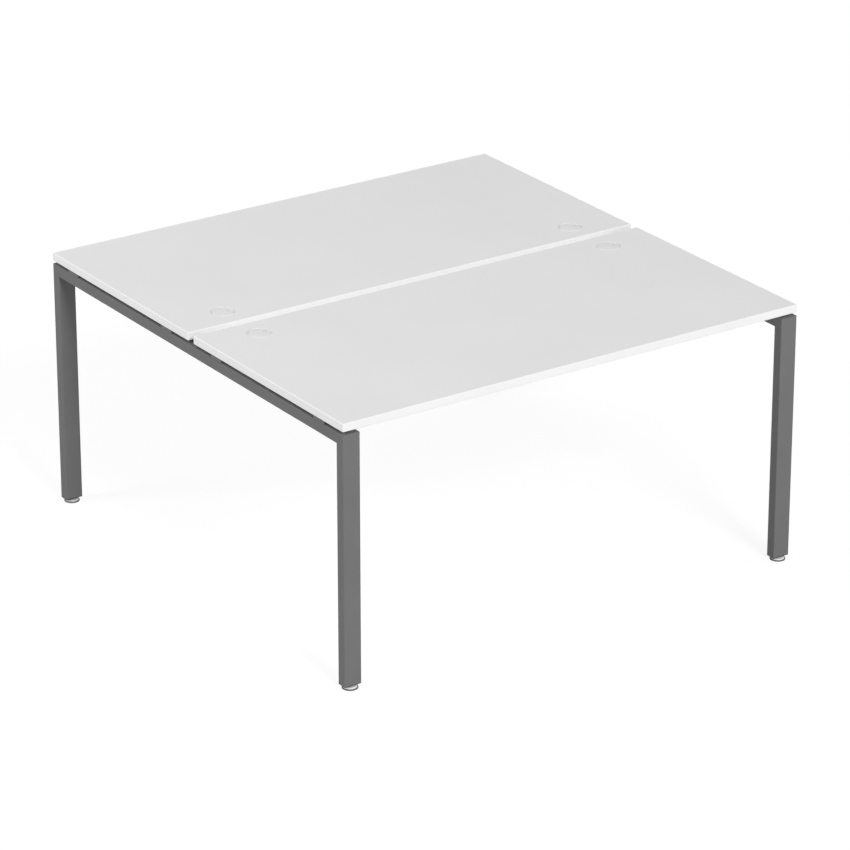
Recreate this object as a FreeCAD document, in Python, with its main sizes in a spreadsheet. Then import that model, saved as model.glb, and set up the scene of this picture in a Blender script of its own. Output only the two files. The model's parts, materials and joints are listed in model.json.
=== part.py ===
"""Two-person bench desk: two desktops on two welded end frames, in millimetres.

X runs along the desktops' long edges, Y across both desktops from front to rear, Z up from the floor.
The origin lies on the floor under the middle of the desk.
"""
import FreeCAD, Part
import math
import os
import re
import Sketcher
from FreeCAD import Placement, Rotation, Vector

# Driving dimensions
SIZES = (
    # Whole desk
    ("desk_width", 1400),
    ("desk_height", 720),
    ("top_depth", 690),
    ("slot_width", 25),
    # Desktops and their edge strips
    ("top_thickness", 22),
    ("strip_thickness", 3),
    ("strip_arris", 2.5),
    # End frame tube: wide along X, deep across it
    ("tube_wide", 50),
    ("tube_deep", 30),
    ("tube_wall", 2),
    ("tube_corner", 3),
    ("foot_gap", 13),
    # Spacers between rails and desktops
    ("shadow_gap", 8),
    ("spacer_length", 48),
    ("spacer_inset", 108),
    # Beams under the desktops
    ("beam_wide", 20),
    ("beam_high", 40),
    ("beam_wall", 1.5),
    ("beam_corner", 2),
    ("beam_inset", 125),
    # End plates of the beams
    ("plate_length", 90),
    ("plate_height", 22),
    ("plate_thickness", 4),
    ("plate_corner", 4),
    ("bolt_spacing", 56),
    ("bolt_play", 0.3),
    # Rivet nuts and bolts
    ("nut_diameter", 9),
    ("nut_length", 12),
    ("nut_play", 0.05),
    ("nut_rim_diameter", 11),
    ("nut_rim", 0.6),
    ("bolt_diameter", 6),
    ("bolt_length", 15),
    ("bolt_head_diameter", 10.5),
    ("bolt_head_height", 3.3),
    # Screws into the desktops
    ("screw_diameter", 5),
    ("screw_head_diameter", 9.5),
    ("screw_head_height", 2.8),
    ("screw_grip", 13),
    ("screw_spread", 450),
    ("screw_access", 12),
    # Threaded plugs in the legs
    ("plug_height", 24),
    ("plug_play", 0.1),
    ("plug_rim", 1.5),
    ("plug_groove", 1.6),
    ("plug_rib", 3),
    # Levelling feet
    ("stud_diameter", 8),
    ("stud_reach", 28),
    ("stud_head_diameter", 12),
    ("collar_across_corners", 15),
    ("collar_height", 3),
    ("collar_gap", 0.4),
    ("pad_diameter", 42),
    ("pad_thickness", 3.5),
    ("pad_chamfer", 0.7),
    ("cover_inset", 0.9),
    ("cover_wall", 1),
    ("cover_rim", 0.6),
    ("cover_height", 2.7),
    ("cover_neck_diameter", 16),
    ("stud_head_play", 0.1),
    ("stud_hole_play", 0.4),
    # Cable outlets
    ("outlet_hole", 60),
    ("outlet_end_inset", 150),
    ("outlet_slot_inset", 75),
    ("sleeve_wall", 2.4),
    ("sleeve_depth", 20),
    ("flange_overlap", 3),
    ("flange_height", 2.2),
    ("rebate_depth", 1.6),
    ("flange_chamfer", 0.9),
    ("cap_ledge", 1.5),
    ("cap_thickness", 1.6),
    ("cap_drop", 0.5),
    ("notch_width", 15),
    ("notch_inset", 18),
    ("shutter_thickness", 1.4),
    ("shutter_gap", 0.2),
    ("grip_groove_width", 1.2),
    ("grip_groove_length", 12),
    ("grip_groove_depth", 0.6),
    ("grip_groove_pitch", 3),
    ("hub_diameter", 6),
    ("hub_head_diameter", 8.4),
    ("hub_head_height", 1.6),
    # Clearances and overruns
    ("outlet_play", 0.3),
    ("running_play", 0.05),
    ("cut_overrun", 1),
)
PLUG_RIBS = 3
GRIP_GROOVES = 3

# Formulas that several pieces share
DESK_DEPTH = "(2 * top_depth + slot_width)"
TOP_CENTRE = "((top_depth + slot_width) / 2)"
TOP_UNDERSIDE = "(desk_height - top_thickness)"
REBATE_FLOOR = "(desk_height - rebate_depth)"
RAIL_TOP = f"({TOP_UNDERSIDE} - shadow_gap)"
RAIL_UNDERSIDE = f"({RAIL_TOP} - tube_deep)"
RAIL_MIDDLE = f"({RAIL_TOP} - tube_deep / 2)"
PLATE_OUTER = "(tube_wide + nut_rim)"
PLATE_INNER = f"({PLATE_OUTER} + plate_thickness)"
BEAM_LENGTH = f"(desk_width - 2 * {PLATE_INNER})"
SCREW_HOLE = "(screw_diameter + 2 * running_play)"
SLEEVE_RADIUS = "(outlet_hole / 2 - outlet_play)"
SLEEVE_BORE = f"({SLEEVE_RADIUS} - sleeve_wall)"
CAP_SEAT = "(flange_height - cap_drop - cap_thickness)"
SHUTTER_RADIUS = f"({SLEEVE_BORE} - outlet_play)"
SHUTTER_TOP = f"({CAP_SEAT} - shutter_gap)"
SHUTTER_UNDERSIDE = f"({SHUTTER_TOP} - shutter_thickness)"
STUD_BORE = "(stud_diameter + 2 * running_play)"
COVER_TOP = "(pad_thickness + cover_height)"
FLANGE_RADIUS = "(outlet_hole / 2 + flange_overlap)"
SEAT_RADIUS = f"({SLEEVE_BORE} + cap_ledge)"
CAP_RADIUS = f"({SEAT_RADIUS} - outlet_play)"

STRAIGHT_TOLERANCE = 1e-6

doc = FreeCAD.newDocument("bench_desk")
sheet = doc.addObject("Spreadsheet::Sheet", "sizes")
for row, (alias, size) in enumerate(SIZES, start=1):
    sheet.set(f"A{row}", alias)
    sheet.set(f"B{row}", str(size))
    sheet.setAlias(f"B{row}", alias)
doc.recompute()


# Tools for sketches and features

def formula(text):
    """Put the sheet's name before each alias in a formula."""
    return re.sub("[a-z_]+", lambda word: f"sizes.{word.group()}", text)


def new_body(label):
    body = doc.addObject("PartDesign::Body", label)
    body.Label = label
    return body


def new_sketch(body, plane, offset="0"):
    """A sketch on one of the body's origin planes, offset along the plane's normal."""
    sketch = body.newObject("Sketcher::SketchObject", "Sketch")
    support = next(item for item in body.Origin.OriginFeatures if item.Role == plane)
    sketch.AttachmentSupport = [(support, "")]
    sketch.MapMode = "FlatFace"
    if offset != "0":
        sketch.setExpression("AttachmentOffset.Base.z", formula(offset))
    return sketch


def pin(sketch, geometry, point, x, y):
    """Hold a point of the sketch at the formulas x and y, counted from the sketch's own axes."""
    for kind, distance, axis in (("DistanceX", x, -2), ("DistanceY", y, -1)):
        if distance == "0":
            sketch.addConstraint(Sketcher.Constraint("PointOnObject", geometry, point, axis))
        else:
            held = Sketcher.Constraint(kind, -1, 1, geometry, point, 1)
            number = sketch.addConstraint(held)
            sketch.setExpression(f"Constraints[{number}]", formula(distance))


def draw_outline(sketch, points):
    """A closed outline with straight sides through points given as formulas."""
    count = len(points)
    first = sketch.GeometryCount
    turn = 2 * math.pi / count
    corners = [Vector(math.cos(turn * k), math.sin(turn * k), 0) for k in range(count)]
    for k in range(count):
        sketch.addGeometry(Part.LineSegment(corners[k], corners[(k + 1) % count]))
    for k in range(count):
        following = first + (k + 1) % count
        sketch.addConstraint(Sketcher.Constraint("Coincident", first + k, 2, following, 1))
        pin(sketch, first + k, 1, *points[k])


def draw_rectangle(sketch, x, y, length, width):
    """A rectangle about its centre x, y."""
    low_x, high_x = f"{x} - {length} / 2", f"{x} + {length} / 2"
    low_y, high_y = f"{y} - {width} / 2", f"{y} + {width} / 2"
    draw_outline(sketch, ((low_x, low_y), (high_x, low_y), (high_x, high_y), (low_x, high_y)))


def draw_circle(sketch, x, y, diameter):
    circle = sketch.addGeometry(Part.Circle(Vector(), Vector(0, 0, 1), 1))
    number = sketch.addConstraint(Sketcher.Constraint("Diameter", circle, 1))
    sketch.setExpression(f"Constraints[{number}]", formula(diameter))
    pin(sketch, circle, 3, x, y)


def pad(body, sketch, length):
    feature = body.newObject("PartDesign::Pad", "Pad")
    feature.Profile = sketch
    feature.setExpression("Length", formula(length))
    doc.recompute()
    return feature


def pocket(body, sketch, length):
    """Cut along the sketch's normal, and make sure that the cut met the solid."""
    before = body.Shape.Volume
    feature = body.newObject("PartDesign::Pocket", "Pocket")
    feature.Profile = sketch
    feature.Reversed = True
    feature.setExpression("Length", formula(length))
    doc.recompute()
    if body.Shape.Volume >= before:
        raise ValueError(f"a pocket of {body.Label} cuts nothing")
    return feature


def revolve(body, points):
    """Turn an outline of radius and height pairs about the body's Z axis."""
    sketch = new_sketch(body, "XZ_Plane")
    draw_outline(sketch, points)
    feature = body.newObject("PartDesign::Revolution", "Revolution")
    feature.Profile = sketch
    feature.ReferenceAxis = (sketch, ["V_Axis"])
    doc.recompute()
    return feature


def fillet(body, feature, radius, wanted):
    """Round the edges of the feature that the test wants."""
    edges = enumerate(feature.Shape.Edges, start=1)
    rounding = body.newObject("PartDesign::Fillet", "Fillet")
    rounding.Base = (feature, [f"Edge{number}" for number, edge in edges if wanted(edge)])
    rounding.setExpression("Radius", formula(radius))
    doc.recompute()
    return rounding


def along(direction):
    """A test for straight edges that run along a direction."""
    def wanted(edge):
        if not isinstance(edge.Curve, Part.Line):
            return False
        return edge.Curve.Direction.cross(direction).Length < STRAIGHT_TOLERANCE
    return wanted


def round_steps(body, plane, places, start, diameter, length):
    """A round step at each of the places."""
    sketch = new_sketch(body, plane, start)
    for place in places:
        draw_circle(sketch, *place, diameter)
    return pad(body, sketch, length)


def round_holes(body, plane, places, start, diameter, length):
    """A round hole at each of the places."""
    sketch = new_sketch(body, plane, start)
    for place in places:
        draw_circle(sketch, *place, diameter)
    return pocket(body, sketch, length)


def wall_holes(body, plane, places, wall_start, wall, diameter):
    """Round holes through one wall of a tube or plate."""
    start = f"{wall_start} - cut_overrun"
    return round_holes(body, plane, places, start, diameter, f"{wall} + 2 * cut_overrun")


def place(body, x="0", y="0", z="0", turned=False):
    """Put the body at x, y, z, turned half round about Z where it faces the other way."""
    if turned:
        body.Placement = Placement(Vector(), Rotation(Vector(0, 0, 1), 180))
    for axis, distance in (("x", x), ("y", y), ("z", z)):
        if distance != "0":
            body.setExpression(f"Placement.Base.{axis}", formula(distance))


def rows(inset):
    """The four lines across the desk that lie an inset in from the desktops' long edges."""
    outer = f"({DESK_DEPTH} / 2 - {inset})"
    inner = f"(slot_width / 2 + {inset})"
    return (f"-{outer}", f"-{inner}", inner, outer)


# Places that pieces share: beams and spacers lie in rows, bolts in pairs about the beams
BEAM_ROWS = rows("beam_inset")
SPACER_ROWS = rows("spacer_inset")
BOLT_PLACES = [(f"{row} {step} bolt_spacing / 2", RAIL_MIDDLE) for row in BEAM_ROWS for step in "-+"]
SPACER_SCREWS = [("tube_wide / 2", row) for row in SPACER_ROWS]
BEAM_SCREW_STEPS = ("-screw_spread", "0", "screw_spread")
TOP_BEAM_LINE = "(top_depth / 2 - beam_inset)"
TOP_SPACER_LINE = "(top_depth / 2 - spacer_inset)"
TOP_END_LINE = "(desk_width / 2 - tube_wide / 2)"
BEAM_SCREWS = [(x, f"{sign}{TOP_BEAM_LINE}") for x in BEAM_SCREW_STEPS for sign in "-+"]
OUTLET_X = "(desk_width / 2 - outlet_end_inset)"
OUTLET_Y = "(slot_width / 2 + outlet_slot_inset)"
TOP_OUTLET_LINE = "(top_depth / 2 - outlet_slot_inset)"
DESKTOPS = (("front", f"-{TOP_CENTRE}", False), ("rear", TOP_CENTRE, True))
SIDES = (("left", "-desk_width / 2", False), ("right", "desk_width / 2", True))


# Desktops

def make_desktop(label):
    """The melamine board of one desktop about its own middle, with the slot side at +Y.

    Each outlet's hole has a shallow rebate for the flange.
    """
    body = new_body(label)
    sketch = new_sketch(body, "XY_Plane", TOP_UNDERSIDE)
    length = "(desk_width - 2 * strip_thickness)"
    draw_rectangle(sketch, "0", "0", length, "(top_depth - 2 * strip_thickness)")
    pad(body, sketch, "top_thickness")
    outlets = [(f"{sign}{OUTLET_X}", TOP_OUTLET_LINE) for sign in "-+"]
    round_holes(body, "XY_Plane", outlets, TOP_UNDERSIDE, "outlet_hole", "top_thickness")
    rebate = f"2 * ({FLANGE_RADIUS} + outlet_play)"
    round_holes(body, "XY_Plane", outlets, REBATE_FLOOR, rebate, "rebate_depth")
    ends = [(f"{x}{TOP_END_LINE}", f"{y}{TOP_SPACER_LINE}") for x in "-+" for y in "-+"]
    depth = "screw_grip + cut_overrun"
    round_holes(body, "XY_Plane", ends + BEAM_SCREWS, TOP_UNDERSIDE, SCREW_HOLE, depth)
    return body


def make_long_strip(label):
    """An edge strip for a long edge, as long as the desktop, with its corners rounded."""
    body = new_body(label)
    sketch = new_sketch(body, "XY_Plane", TOP_UNDERSIDE)
    draw_rectangle(sketch, "0", "-(top_depth - strip_thickness) / 2", "desk_width", "strip_thickness")
    block = pad(body, sketch, "top_thickness")
    glued = block.Shape.BoundBox.YMax - STRAIGHT_TOLERANCE
    fillet(body, block, "strip_arris", lambda edge: edge.BoundBox.YMin < glued)
    return body


def make_short_strip(label):
    """An edge strip for a short edge, between the two long ones."""
    body = new_body(label)
    sketch = new_sketch(body, "XY_Plane", TOP_UNDERSIDE)
    width = "(top_depth - 2 * strip_thickness)"
    draw_rectangle(sketch, "-(desk_width - strip_thickness) / 2", "0", "strip_thickness", width)
    block = pad(body, sketch, "top_thickness")
    glued = block.Shape.BoundBox.XMax - STRAIGHT_TOLERANCE
    long_edge = along(Vector(0, 1, 0))
    fillet(body, block, "strip_arris", lambda edge: long_edge(edge) and edge.BoundBox.XMax < glued)
    return body


# End frames

def make_tube(label, start, side_view, bore_view, direction):
    """A mitred tube: its side view padded over the width, rounded along its length, then hollowed."""
    body = new_body(label)
    sketch = new_sketch(body, "YZ_Plane", start)
    draw_outline(sketch, side_view)
    fillet(body, pad(body, sketch, "tube_wide"), "tube_corner", along(direction))
    bore = new_sketch(body, "YZ_Plane", f"{start} + tube_wall")
    draw_outline(bore, bore_view)
    pocket(body, bore, "tube_wide - 2 * tube_wall")
    return body


def mitred_rail_view(wall):
    """The rail seen from its end, drawn in by a wall and cut at 45 degrees at both ends."""
    long_half = f"({DESK_DEPTH} / 2 - {wall})"
    short_half = f"({DESK_DEPTH} / 2 - tube_deep + {wall})"
    top, bottom = f"{RAIL_TOP} - {wall}", f"{RAIL_UNDERSIDE} + {wall}"
    return ((f"-{short_half}", bottom), (short_half, bottom), (long_half, top), (f"-{long_half}", top))


def mitred_leg_view(wall):
    """The leg seen from its side, drawn in by a wall, with its outer face at -Y."""
    half = f"(tube_deep / 2 - {wall})"
    short_top, long_top = f"{RAIL_UNDERSIDE} + {wall}", f"{RAIL_TOP} - {wall}"
    return ((f"-{half}", "foot_gap"), (half, "foot_gap"), (half, short_top), (f"-{half}", long_top))


def make_rail(label):
    """A top rail, with X counted from its outer face, bolted to the beams on its inner face."""
    no_wall = "0 * tube_wall"
    across = Vector(0, 1, 0)
    body = make_tube(label, "0", mitred_rail_view(no_wall), mitred_rail_view("tube_wall"), across)
    nut_hole = "nut_diameter + 2 * nut_play"
    wall_holes(body, "YZ_Plane", BOLT_PLACES, "tube_wide - tube_wall", "tube_wall", nut_hole)
    wall_holes(body, "XY_Plane", SPACER_SCREWS, f"{RAIL_TOP} - tube_wall", "tube_wall", SCREW_HOLE)
    wall_holes(body, "XY_Plane", SPACER_SCREWS, RAIL_UNDERSIDE, "tube_wall", "screw_access")
    return body


def make_leg(label):
    """A leg about its own middle line, open at the foot and mitred to the rail."""
    no_wall = "0 * tube_wall"
    upright = Vector(0, 0, 1)
    start = "-tube_wide / 2"
    return make_tube(label, start, mitred_leg_view(no_wall), mitred_leg_view("tube_wall"), upright)


def make_spacers(label):
    """The blocks that hold the desktops clear of a rail, as wide as the rail."""
    body = new_body(label)
    sketch = new_sketch(body, "XY_Plane", RAIL_TOP)
    for row in SPACER_ROWS:
        draw_rectangle(sketch, "tube_wide / 2", row, "tube_wide", "spacer_length")
    pad(body, sketch, "shadow_gap")
    wall_holes(body, "XY_Plane", SPACER_SCREWS, RAIL_TOP, "shadow_gap", SCREW_HOLE)
    return body


def make_screws(label, places, seat, grip):
    """Pan-head screws that stand head down on a wall at the seat's height."""
    body = new_body(label)
    head_start = f"{seat} - screw_head_height"
    round_steps(body, "XY_Plane", places, head_start, "screw_head_diameter", "screw_head_height")
    round_steps(body, "XY_Plane", places, seat, "screw_diameter", grip)
    return body


# Beams

def make_beam(label):
    """A beam from end plate to end plate, with screw holes above and access holes below."""
    body = new_body(label)
    start = f"-{BEAM_LENGTH} / 2"
    middle = f"{TOP_UNDERSIDE} - beam_high / 2"
    sketch = new_sketch(body, "YZ_Plane", start)
    draw_rectangle(sketch, "0", middle, "beam_wide", "beam_high")
    fillet(body, pad(body, sketch, BEAM_LENGTH), "beam_corner", along(Vector(1, 0, 0)))
    bore = new_sketch(body, "YZ_Plane", start)
    draw_rectangle(bore, "0", middle, "(beam_wide - 2 * beam_wall)", "(beam_high - 2 * beam_wall)")
    pocket(body, bore, BEAM_LENGTH)
    places = [(x, "0") for x in BEAM_SCREW_STEPS]
    wall_holes(body, "XY_Plane", places, f"{TOP_UNDERSIDE} - beam_wall", "beam_wall", SCREW_HOLE)
    bottom = f"{TOP_UNDERSIDE} - beam_high"
    wall_holes(body, "XY_Plane", places, bottom, "beam_wall", "screw_access")
    return body


def make_end_plates(label):
    """The plates welded to the beams' ends at one side of the desk, each with two bolt holes."""
    body = new_body(label)
    sketch = new_sketch(body, "YZ_Plane", PLATE_OUTER)
    for row in BEAM_ROWS:
        draw_rectangle(sketch, row, RAIL_MIDDLE, "plate_length", "plate_height")
    plates = pad(body, sketch, "plate_thickness")
    fillet(body, plates, "plate_corner", along(Vector(1, 0, 0)))
    bolt_hole = "bolt_diameter + 2 * bolt_play"
    wall_holes(body, "YZ_Plane", BOLT_PLACES, PLATE_OUTER, "plate_thickness", bolt_hole)
    return body


def make_rivet_nuts(label):
    """Thin-rimmed rivet nuts in the inner wall of a rail."""
    body = new_body(label)
    start = "tube_wide - nut_length"
    round_steps(body, "YZ_Plane", BOLT_PLACES, start, "nut_diameter", "nut_length")
    round_steps(body, "YZ_Plane", BOLT_PLACES, "tube_wide", "nut_rim_diameter", "nut_rim")
    bore = "bolt_diameter + 2 * running_play"
    wall_holes(body, "YZ_Plane", BOLT_PLACES, start, "nut_length + nut_rim", bore)
    return body


def make_bolts(label):
    """Bolts through the end plates into the rivet nuts."""
    body = new_body(label)
    start = f"{PLATE_INNER} - bolt_length"
    round_steps(body, "YZ_Plane", BOLT_PLACES, start, "bolt_diameter", "bolt_length")
    head = ("bolt_head_diameter", "bolt_head_height")
    round_steps(body, "YZ_Plane", BOLT_PLACES, PLATE_INNER, *head)
    return body


# Levelling feet

def make_plug(label):
    """The threaded plastic plug in the foot of a leg, ribbed to grip the tube's walls."""
    body = new_body(label)
    bore_length = "(tube_wide - 2 * tube_wall - 2 * plug_play)"
    bore_width = "(tube_deep - 2 * tube_wall - 2 * plug_play)"
    rim = new_sketch(body, "XY_Plane", "foot_gap - plug_rim")
    draw_rectangle(rim, "0", "0", "tube_wide", "tube_deep")
    fillet(body, pad(body, rim, "plug_rim"), "tube_corner", along(Vector(0, 0, 1)))
    core = new_sketch(body, "XY_Plane", "foot_gap")
    core_length, core_width = f"({bore_length} - 2 * plug_groove)", f"({bore_width} - 2 * plug_groove)"
    draw_rectangle(core, "0", "0", core_length, core_width)
    pad(body, core, "plug_height")
    for rib in range(PLUG_RIBS):
        height = f"foot_gap + (plug_height - plug_rib) * {rib + 1} / {PLUG_RIBS + 1}"
        sketch = new_sketch(body, "XY_Plane", height)
        draw_rectangle(sketch, "0", "0", bore_length, bore_width)
        pad(body, sketch, "plug_rib")
    through = "plug_rim + plug_height"
    wall_holes(body, "XY_Plane", [("0", "0")], "foot_gap - plug_rim", through, STUD_BORE)
    return body


def make_stud(label):
    """The foot's threaded stud, with a head held in the foot and a collar for a spanner."""
    body = new_body(label)
    head, shank = "stud_head_diameter / 2", "stud_diameter / 2"
    head_low = "pad_thickness + stud_head_play"
    head_high = f"{COVER_TOP} - cover_wall - stud_head_play"
    tip = "foot_gap + stud_reach"
    revolve(body, (("0", head_low), (head, head_low), (head, head_high), (shank, head_high),
                   (shank, tip), ("0", tip)))
    collar = new_sketch(body, "XY_Plane", f"{COVER_TOP} + collar_gap")
    half = "collar_across_corners / 2"
    flat = f"({half} * {math.sin(math.pi / 3)})"
    draw_outline(collar, ((half, "0"), (f"{half} / 2", flat), (f"-{half} / 2", flat), (f"-{half}", "0"),
                          (f"-{half} / 2", f"-{flat}"), (f"{half} / 2", f"-{flat}")))
    pad(body, collar, "collar_height")
    return body


def make_foot_cover(label):
    """The moulded cover of a foot: a short rim on the pad, and a low cone up to the stud."""
    body = new_body(label)
    outer, neck = "(pad_diameter / 2 - cover_inset)", "cover_neck_diameter / 2"
    inner, hole = f"{outer} - cover_wall", "stud_diameter / 2 + stud_hole_play"
    shoulder, under = "pad_thickness + cover_rim", f"{COVER_TOP} - cover_wall"
    revolve(body, ((outer, "pad_thickness"), (outer, shoulder), (neck, COVER_TOP), (hole, COVER_TOP),
                   (hole, under), (neck, under), (inner, "pad_thickness")))
    return body


def make_foot_pad(label):
    """The plastic pad that stands on the floor and carries the cover, with both its edges chamfered."""
    body = new_body(label)
    radius, drawn_in = "pad_diameter / 2", "pad_diameter / 2 - pad_chamfer"
    upper = "pad_thickness - pad_chamfer"
    revolve(body, (("0", "0"), (drawn_in, "0"), (radius, "pad_chamfer"), (radius, upper),
                   (drawn_in, "pad_thickness"), ("0", "pad_thickness")))
    return body


# Cable outlets, with Z counted from the floor of the desktop's rebate

def make_sleeve(label):
    """The outlet's sleeve: a flange chamfered on both sides, with a seat for the cap, on a short tube."""
    body = new_body(label)
    land, inner_land = f"{FLANGE_RADIUS} - flange_chamfer", f"{SEAT_RADIUS} + flange_chamfer"
    edge = "flange_height - flange_chamfer"
    revolve(body, ((SLEEVE_BORE, "-sleeve_depth"), (SLEEVE_RADIUS, "-sleeve_depth"), (SLEEVE_RADIUS, "0"),
                   (FLANGE_RADIUS, "0"), (FLANGE_RADIUS, edge), (land, "flange_height"),
                   (inner_land, "flange_height"), (SEAT_RADIUS, edge), (SEAT_RADIUS, CAP_SEAT),
                   (SLEEVE_BORE, CAP_SEAT)))
    return body


def cut_notch(body, start, depth, radius, side):
    """Cut a round-ended cable notch from the inset out through the edge on one side."""
    width = "notch_width / 2"
    far = f"{side}({radius} + cut_overrun)"
    middle = f"{side}notch_inset"
    notch = new_sketch(body, "XY_Plane", start)
    draw_outline(notch, ((middle, f"-{width}"), (far, f"-{width}"), (far, width), (middle, width)))
    pocket(body, notch, depth)
    round_holes(body, "XY_Plane", [(middle, "0")], start, "notch_width", depth)


def make_cap(label):
    """The outlet's cap, with a cable notch at +X and a hub that carries the shutter."""
    body = new_body(label)
    top = "flange_height - cap_drop"
    hub, hub_head = "hub_diameter / 2", "hub_head_diameter / 2"
    head_top = f"{SHUTTER_UNDERSIDE} - shutter_gap"
    head_bottom = f"{head_top} - hub_head_height"
    revolve(body, (("0", head_bottom), (hub_head, head_bottom), (hub_head, head_top), (hub, head_top),
                   (hub, CAP_SEAT), (CAP_RADIUS, CAP_SEAT), (CAP_RADIUS, top), ("0", top)))
    cut_notch(body, f"{CAP_SEAT} - cut_overrun", "cap_thickness + 2 * cut_overrun", CAP_RADIUS, "+")
    return body


def make_shutter(label):
    """The disc under the cap, with a notch like the cap's at -X and grip grooves at +X."""
    body = new_body(label)
    hole = "hub_diameter / 2 + running_play"
    revolve(body, ((hole, SHUTTER_UNDERSIDE), (SHUTTER_RADIUS, SHUTTER_UNDERSIDE),
                   (SHUTTER_RADIUS, SHUTTER_TOP), (hole, SHUTTER_TOP)))
    start = f"{SHUTTER_UNDERSIDE} - cut_overrun"
    cut_notch(body, start, "shutter_thickness + 2 * cut_overrun", SHUTTER_RADIUS, "-")
    grooves = new_sketch(body, "XY_Plane", f"{SHUTTER_TOP} - grip_groove_depth")
    for groove in range(GRIP_GROOVES):
        x = f"notch_inset + grip_groove_pitch * {groove}"
        draw_rectangle(grooves, x, "0", "grip_groove_width", "grip_groove_length")
    pocket(body, grooves, "grip_groove_depth + cut_overrun")
    return body


# The desk put together

for half, centre, turned in DESKTOPS:
    place(make_desktop(f"{half}_desktop"), y=centre, turned=turned)
    place(make_long_strip(f"{half}_outer_edge_strip"), y=centre, turned=turned)
    place(make_long_strip(f"{half}_slot_edge_strip"), y=centre, turned=not turned)
    place(make_short_strip(f"{half}_left_edge_strip"), y=centre)
    place(make_short_strip(f"{half}_right_edge_strip"), y=centre, turned=True)
    screws = make_screws(f"{half}_beam_screws", BEAM_SCREWS, f"{TOP_UNDERSIDE} - beam_wall",
                         "beam_wall + screw_grip")
    place(screws, y=centre)

for name, row in zip(("front_outer", "front_slot", "rear_slot", "rear_outer"), BEAM_ROWS):
    place(make_beam(f"{name}_beam"), y=row)

for side, outer_face, turned in SIDES:
    place(make_rail(f"{side}_rail"), x=outer_face, turned=turned)
    place(make_spacers(f"{side}_rail_spacers"), x=outer_face, turned=turned)
    screws = make_screws(f"{side}_rail_screws", SPACER_SCREWS, f"{RAIL_TOP} - tube_wall",
                         "tube_wall + shadow_gap + screw_grip")
    place(screws, x=outer_face, turned=turned)
    place(make_end_plates(f"{side}_end_plates"), x=outer_face, turned=turned)
    place(make_rivet_nuts(f"{side}_rivet_nuts"), x=outer_face, turned=turned)
    place(make_bolts(f"{side}_beam_bolts"), x=outer_face, turned=turned)

for half, y_sign in (("front", "-"), ("rear", "+")):
    for side, x_sign in (("left", "-"), ("right", "+")):
        corner = f"{half}_{side}"
        leg_x = f"{x_sign}(desk_width / 2 - tube_wide / 2)"
        leg_y = f"{y_sign}({DESK_DEPTH} / 2 - tube_deep / 2)"
        place(make_leg(f"{corner}_leg"), leg_x, leg_y, turned=half == "rear")
        place(make_plug(f"{corner}_leg_plug"), leg_x, leg_y)
        place(make_stud(f"{corner}_foot_stud"), leg_x, leg_y)
        place(make_foot_cover(f"{corner}_foot_cover"), leg_x, leg_y)
        place(make_foot_pad(f"{corner}_foot_pad"), leg_x, leg_y)
        outlet = f"{x_sign}{OUTLET_X}", f"{y_sign}{OUTLET_Y}", REBATE_FLOOR
        place(make_sleeve(f"{corner}_outlet_sleeve"), *outlet)
        place(make_cap(f"{corner}_outlet_cap"), *outlet)
        place(make_shutter(f"{corner}_outlet_shutter"), *outlet)

doc.recompute()

# Every object is sound before anything is written
for item in doc.Objects:
    if "Invalid" in item.State or "Error" in item.State:
        raise RuntimeError(f"{item.Label} did not build: {item.State}")
bodies = [item for item in doc.Objects if item.TypeId == "PartDesign::Body"]
for body in bodies:
    if body.Shape.isNull() or not body.Shape.isValid():
        raise RuntimeError(f"{body.Label} has no sound shape")

os.makedirs("parts", exist_ok=True)
for body in bodies:
    body.Shape.exportStep(os.path.join("parts", f"{body.Label}.step"))
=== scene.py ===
"""Bench desk for two people: finishes, moulded and turned pieces, fasteners, light and camera.

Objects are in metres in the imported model's frame. Sizes of small pieces are written in millimetres.
"""
import json
import math

import bmesh
import bpy
from mathutils import Matrix, Vector


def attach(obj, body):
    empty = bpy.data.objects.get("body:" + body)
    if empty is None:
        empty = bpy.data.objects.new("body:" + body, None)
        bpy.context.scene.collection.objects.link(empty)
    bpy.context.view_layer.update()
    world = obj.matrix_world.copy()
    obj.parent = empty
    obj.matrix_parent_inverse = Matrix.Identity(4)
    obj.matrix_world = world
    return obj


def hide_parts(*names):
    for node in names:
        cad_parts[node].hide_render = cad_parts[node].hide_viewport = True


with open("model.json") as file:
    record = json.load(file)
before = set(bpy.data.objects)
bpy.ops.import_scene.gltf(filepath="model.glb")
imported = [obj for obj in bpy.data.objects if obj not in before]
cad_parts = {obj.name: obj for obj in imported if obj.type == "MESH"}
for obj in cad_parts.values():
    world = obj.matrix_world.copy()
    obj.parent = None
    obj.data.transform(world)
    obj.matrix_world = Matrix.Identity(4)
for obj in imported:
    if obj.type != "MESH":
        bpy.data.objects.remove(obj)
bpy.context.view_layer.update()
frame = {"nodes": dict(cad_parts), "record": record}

MM = 0.001
SEED = 7
SMOOTH_ANGLE = math.radians(32)
CORNERS = [(half, side) for half in ("front", "rear") for side in ("left", "right")]
OUTWARD = {"front": -1, "rear": 1, "left": -1, "right": 1}

# Sizes in millimetres that the pieces share with the model
DESK_WIDTH, DESK_HEIGHT, DESKTOP_DEPTH, SLOT_WIDTH = 1400, 720, 690, 25
BOARD_THICKNESS, REBATE_DEPTH = 22, 1.6
TUBE_WIDTH, TUBE_DEPTH, TUBE_WALL = 50, 30, 2
SPACER_HEIGHT, BEAM_WALL, PLATE_THICKNESS, NUT_RIM = 8, 1.5, 4, 0.6
OUTLET_FROM_END, OUTLET_FROM_SLOT = 150, 75
# How far the beams' and spacers' middles lie in from the long edges of their desktop
BEAM_INSET, SPACER_INSET = 125, 108

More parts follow.
